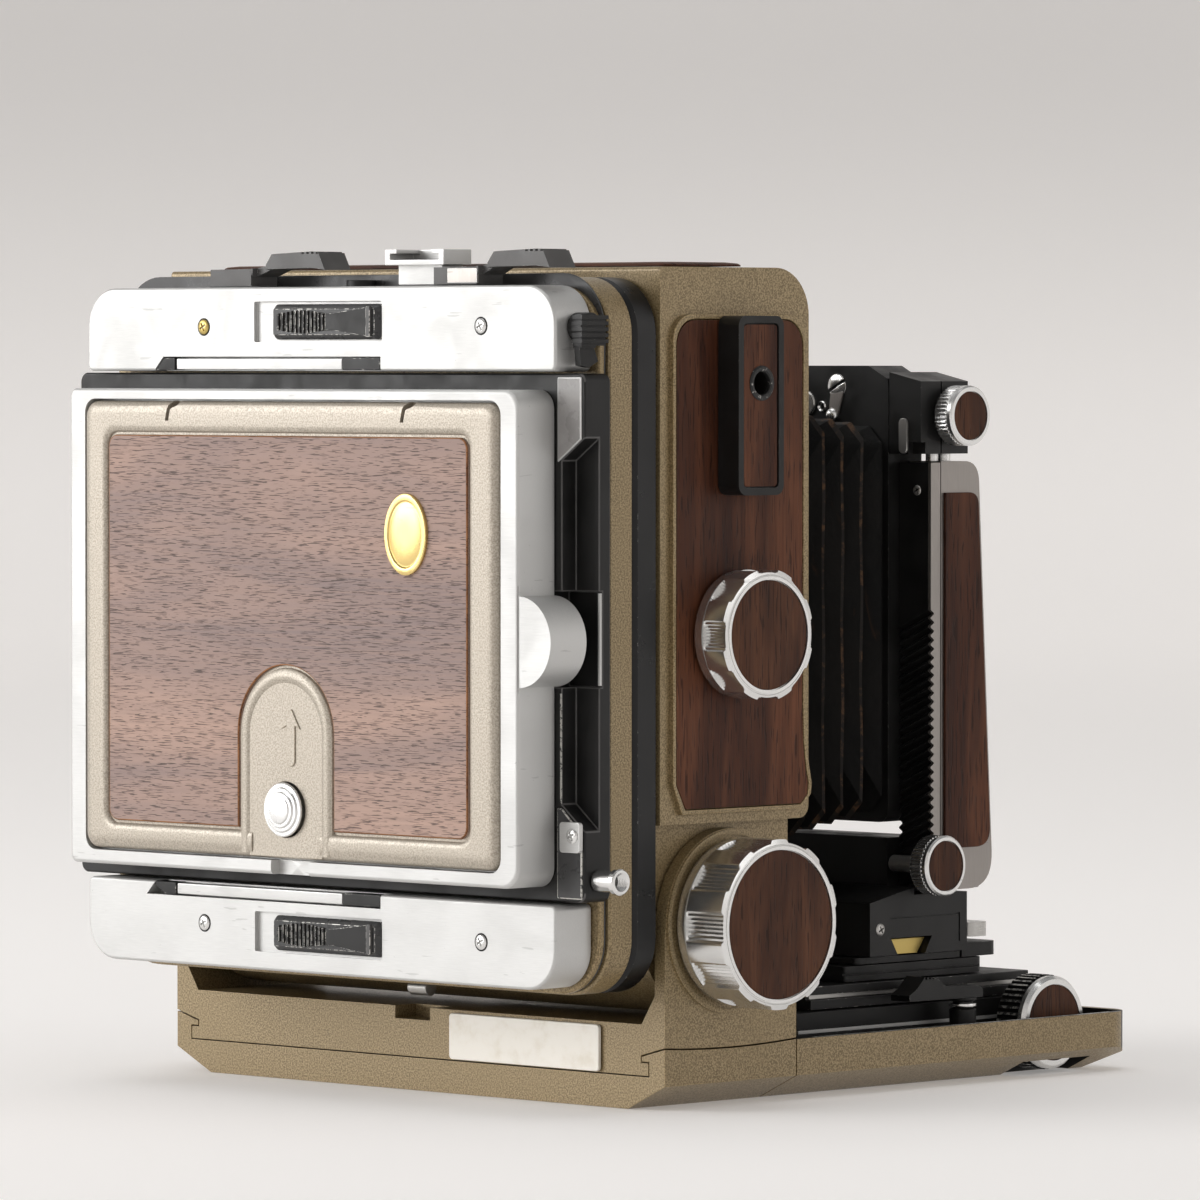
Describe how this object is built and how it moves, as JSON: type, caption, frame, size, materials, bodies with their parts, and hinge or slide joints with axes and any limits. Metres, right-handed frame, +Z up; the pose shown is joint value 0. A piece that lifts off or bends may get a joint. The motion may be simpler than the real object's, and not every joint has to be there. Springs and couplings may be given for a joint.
{
  "type": "view camera",
  "caption": "Folding metal view camera with revolving back, hooded focusing screen, pleated bellows, tilting and swinging standards and a geared focusing bed.",
  "frame": {"origin": "centre of the flat tripod face on the underside of the base, between the two tripod sockets, on the rear swing axis", "axes": "+Y towards the subject, +Z up, +X to the operator's right seen from behind the screen"},
  "size_m": [0.1952, 0.2081, 0.1964],
  "materials": {
    "gold_paint": "hammered satin paint",
    "black_paint": "worn satin black paint",
    "grey_metal": "satin grey paint",
    "bare_aluminium": "fine brushed",
    "steel": "brushed",
    "brass": "satin",
    "rosewood": "oiled, fine vertical grain",
    "pale_wood": "oiled, horizontal grain with dark pores",
    "cream_plate": "satin enamel",
    "ground_glass": "ground on one face",
    "bellows_leather": "pleated, worn at the folds"
  },
  "bodies": {
    "base": {"base_block": "gold_paint", "tripod_socket_large": "steel", "tripod_socket_small": "steel"},
    "yoke": {"yoke": "gold_paint", "name_plate": "cream_plate"},
    "tilt_knob_right": {"tilt_knob_right": "bare_aluminium"},
    "tilt_knob_left": {"tilt_knob_left": "bare_aluminium"},
    "camera_body": {"camera_body": "gold_paint", "side_panel_right": "rosewood", "side_panel_left": "rosewood", "top_panel": "rosewood", "strap_lug_right": "black_paint", "strap_lug_left": "black_paint", "fixed_ring": "black_paint", "bellows": "bellows_leather"},
    "back_knob": {"back_knob": "bare_aluminium"},
    "turning_back": {"turning_ring": "gold_paint", "back_plate": "grey_metal", "top_bar": "bare_aluminium", "bottom_bar": "bare_aluminium", "accessory_shoe": "bare_aluminium"},
    "upper_catch": {"upper_catch": "black_paint"},
    "lower_catch": {"lower_catch": "black_paint"},
    "top_lever_left": {"top_lever_left": "black_paint"},
    "top_lever_right": {"top_lever_right": "black_paint"},
    "corner_lever": {"corner_lever": "black_paint"},
    "spring_back": {"holder_plate": "black_paint", "screen_frame": "bare_aluminium", "ground_glass": "ground_glass", "corner_bracket": "steel", "side_stub": "steel"},
    "hood": {"hood_cover": "gold_paint", "cover_panel": "pale_wood", "badge": "brass", "arch_plate": "gold_paint"},
    "hood_button": {"hood_button": "bare_aluminium"},
    "bed": {"bed": "gold_paint"},
    "track_lock": {"track_lock": "black_paint"},
    "focus_drive": {"focus_shaft": "steel", "focus_knob_right": "black_paint", "focus_knob_left": "black_paint"},
    "track": {"track": "black_paint"},
    "carriage": {"carriage_plate": "black_paint"},
    "swing_table": {"swing_plate": "black_paint", "dovetail_bar": "brass"},
    "swing_lock": {"swing_lock": "steel"},
    "cross_slide": {"cross_slide": "black_paint", "rack_right": "black_paint", "rack_left": "black_paint"},
    "riser": {"riser": "grey_metal", "riser_panel_right": "rosewood", "riser_panel_left": "rosewood"},
    "rise_knob_right": {"rise_knob_right": "bare_aluminium"},
    "rise_knob_left": {"rise_knob_left": "bare_aluminium"},
    "lens_frame": {"lens_frame": "black_paint", "lens_board": "black_paint"},
    "front_clamp_right": {"front_clamp_right": "bare_aluminium"},
    "front_clamp_left": {"front_clamp_left": "bare_aluminium"}
  },
  "joints": [
    {"name": "rear_swing", "type": "hinge", "parent": "base", "child": "yoke", "pos_m": [0, 0, 0.012], "axis": [0, 0, 1], "range_deg": [-12, 12]},
    {"name": "rear_tilt", "type": "hinge", "parent": "yoke", "child": "camera_body", "pos_m": [0, 0, 0.0424], "axis": [1, 0, 0], "range_deg": [-12, 8], "deforming": ["bellows"]},
    {"name": "tilt_knob_right_turn", "type": "hinge", "parent": "yoke", "child": "tilt_knob_right", "pos_m": [0.09, 0, 0.0424], "axis": [1, 0, 0], "range_deg": [-90, 90]},
    {"name": "tilt_knob_left_turn", "type": "hinge", "parent": "yoke", "child": "tilt_knob_left", "pos_m": [-0.09, 0, 0.0424], "axis": [1, 0, 0], "range_deg": [-90, 90]},
    {"name": "back_knob_turn", "type": "hinge", "parent": "camera_body", "child": "back_knob", "pos_m": [0.088, 0, 0.1084], "axis": [1, 0, 0], "range_deg": [-90, 90]},
    {"name": "back_turn", "type": "hinge", "parent": "camera_body", "child": "turning_back", "pos_m": [0, -0.035, 0.1084], "axis": [0, 1, 0], "range_deg": [0, 90]},
    {"name": "upper_catch_slide", "type": "slide", "parent": "turning_back", "child": "upper_catch", "axis": [1, 0, 0], "range_m": [-0.006, 0]},
    {"name": "lower_catch_slide", "type": "slide", "parent": "turning_back", "child": "lower_catch", "axis": [1, 0, 0], "range_m": [-0.006, 0]},
    {"name": "top_lever_left_turn", "type": "hinge", "parent": "turning_back", "child": "top_lever_left", "pos_m": [-0.031, -0.0475, 0.19], "axis": [0, 0, 1], "range_deg": [-25, 0]},
    {"name": "top_lever_right_turn", "type": "hinge", "parent": "turning_back", "child": "top_lever_right", "pos_m": [0.0455, -0.0475, 0.19], "axis": [0, 0, 1], "range_deg": [-25, 0]},
    {"name": "corner_lever_turn", "type": "hinge", "parent": "turning_back", "child": "corner_lever", "pos_m": [0.081, -0.047, 0.1785], "axis": [1, 0, 0], "range_deg": [-40, 0]},
    {"name": "spring_back_slide", "type": "slide", "parent": "turning_back", "child": "spring_back", "axis": [0, 1, 0], "range_m": [-0.012, 0], "stiffness_N_per_m": 400, "springref_m": 0.012},
    {"name": "hood_hinge", "type": "hinge", "parent": "spring_back", "child": "hood", "pos_m": [0, -0.0629, 0.1609], "axis": [-1, 0, 0], "range_deg": [0, 95]},
    {"name": "hood_button_press", "type": "slide", "parent": "hood", "child": "hood_button", "axis": [0, 1, 0], "range_m": [0, 0.0012], "stiffness_N_per_m": 300, "springref_m": -0.003},
    {"name": "bed_fold", "type": "hinge", "parent": "base", "child": "bed", "pos_m": [0, 0.022, 0.0141], "axis": [1, 0, 0], "range_deg": [0, 8]},
    {"name": "track_lock_turn", "type": "hinge", "parent": "bed", "child": "track_lock", "pos_m": [0.0704, 0.092, 0.015], "axis": [0, 0, 1], "range_deg": [0, 40]},
    {"name": "focus_slide", "type": "slide", "parent": "bed", "child": "track", "axis": [0, 1, 0], "range_m": [-0.006, 0.02]},
    {"name": "focus_turn", "type": "hinge", "parent": "bed", "child": "focus_drive", "pos_m": [0, 0.1182, 0.0122], "axis": [1, 0, 0], "range_deg": [-330, 150]},
    {"name": "carriage_slide", "type": "slide", "parent": "track", "child": "carriage", "axis": [0, 1, 0], "range_m": [-0.01, 0.01]},
    {"name": "front_swing", "type": "hinge", "parent": "carriage", "child": "swing_table", "pos_m": [0, 0.0831, 0.028], "axis": [0, 0, 1], "range_deg": [-12, 12]},
    {"name": "swing_lock_turn", "type": "hinge", "parent": "swing_table", "child": "swing_lock", "pos_m": [0.052, 0.1092, 0.033], "axis": [0, 0, 1], "range_deg": [0, 25]},
    {"name": "front_shift", "type": "slide", "parent": "swing_table", "child": "cross_slide", "axis": [1, 0, 0], "range_m": [-0.01, 0.01]},
    {"name": "front_rise", "type": "slide", "parent": "cross_slide", "child": "riser", "axis": [0, 0, 1], "range_m": [0, 0.04]},
    {"name": "rise_knob_right_turn", "type": "hinge", "parent": "riser", "child": "rise_knob_right", "pos_m": [0.066, 0.0874, 0.0508], "axis": [1, 0, 0], "range_deg": [-800, 800]},
    {"name": "rise_knob_left_turn", "type": "hinge", "parent": "riser", "child": "rise_knob_left", "pos_m": [-0.066, 0.0874, 0.0508], "axis": [1, 0, 0], "range_deg": [-800, 800]},
    {"name": "front_tilt", "type": "hinge", "parent": "riser", "child": "lens_frame", "pos_m": [0, 0.096, 0.1578], "axis": [1, 0, 0], "range_deg": [-10, 4]},
    {"name": "front_clamp_right_turn", "type": "hinge", "parent": "riser", "child": "front_clamp_right", "pos_m": [0.066, 0.096, 0.1578], "axis": [1, 0, 0], "range_deg": [-60, 60]},
    {"name": "front_clamp_left_turn", "type": "hinge", "parent": "riser", "child": "front_clamp_left", "pos_m": [-0.066, 0.096, 0.1578], "axis": [1, 0, 0], "range_deg": [-60, 60]}
  ],
  "couplings": [
    {"joint": "focus_turn", "follows": "focus_slide", "rad_per_m": -250},
    {"joint": "rise_knob_right_turn", "follows": "front_rise", "rad_per_m": -333},
    {"joint": "rise_knob_left_turn", "follows": "front_rise", "rad_per_m": -333}
  ]
}
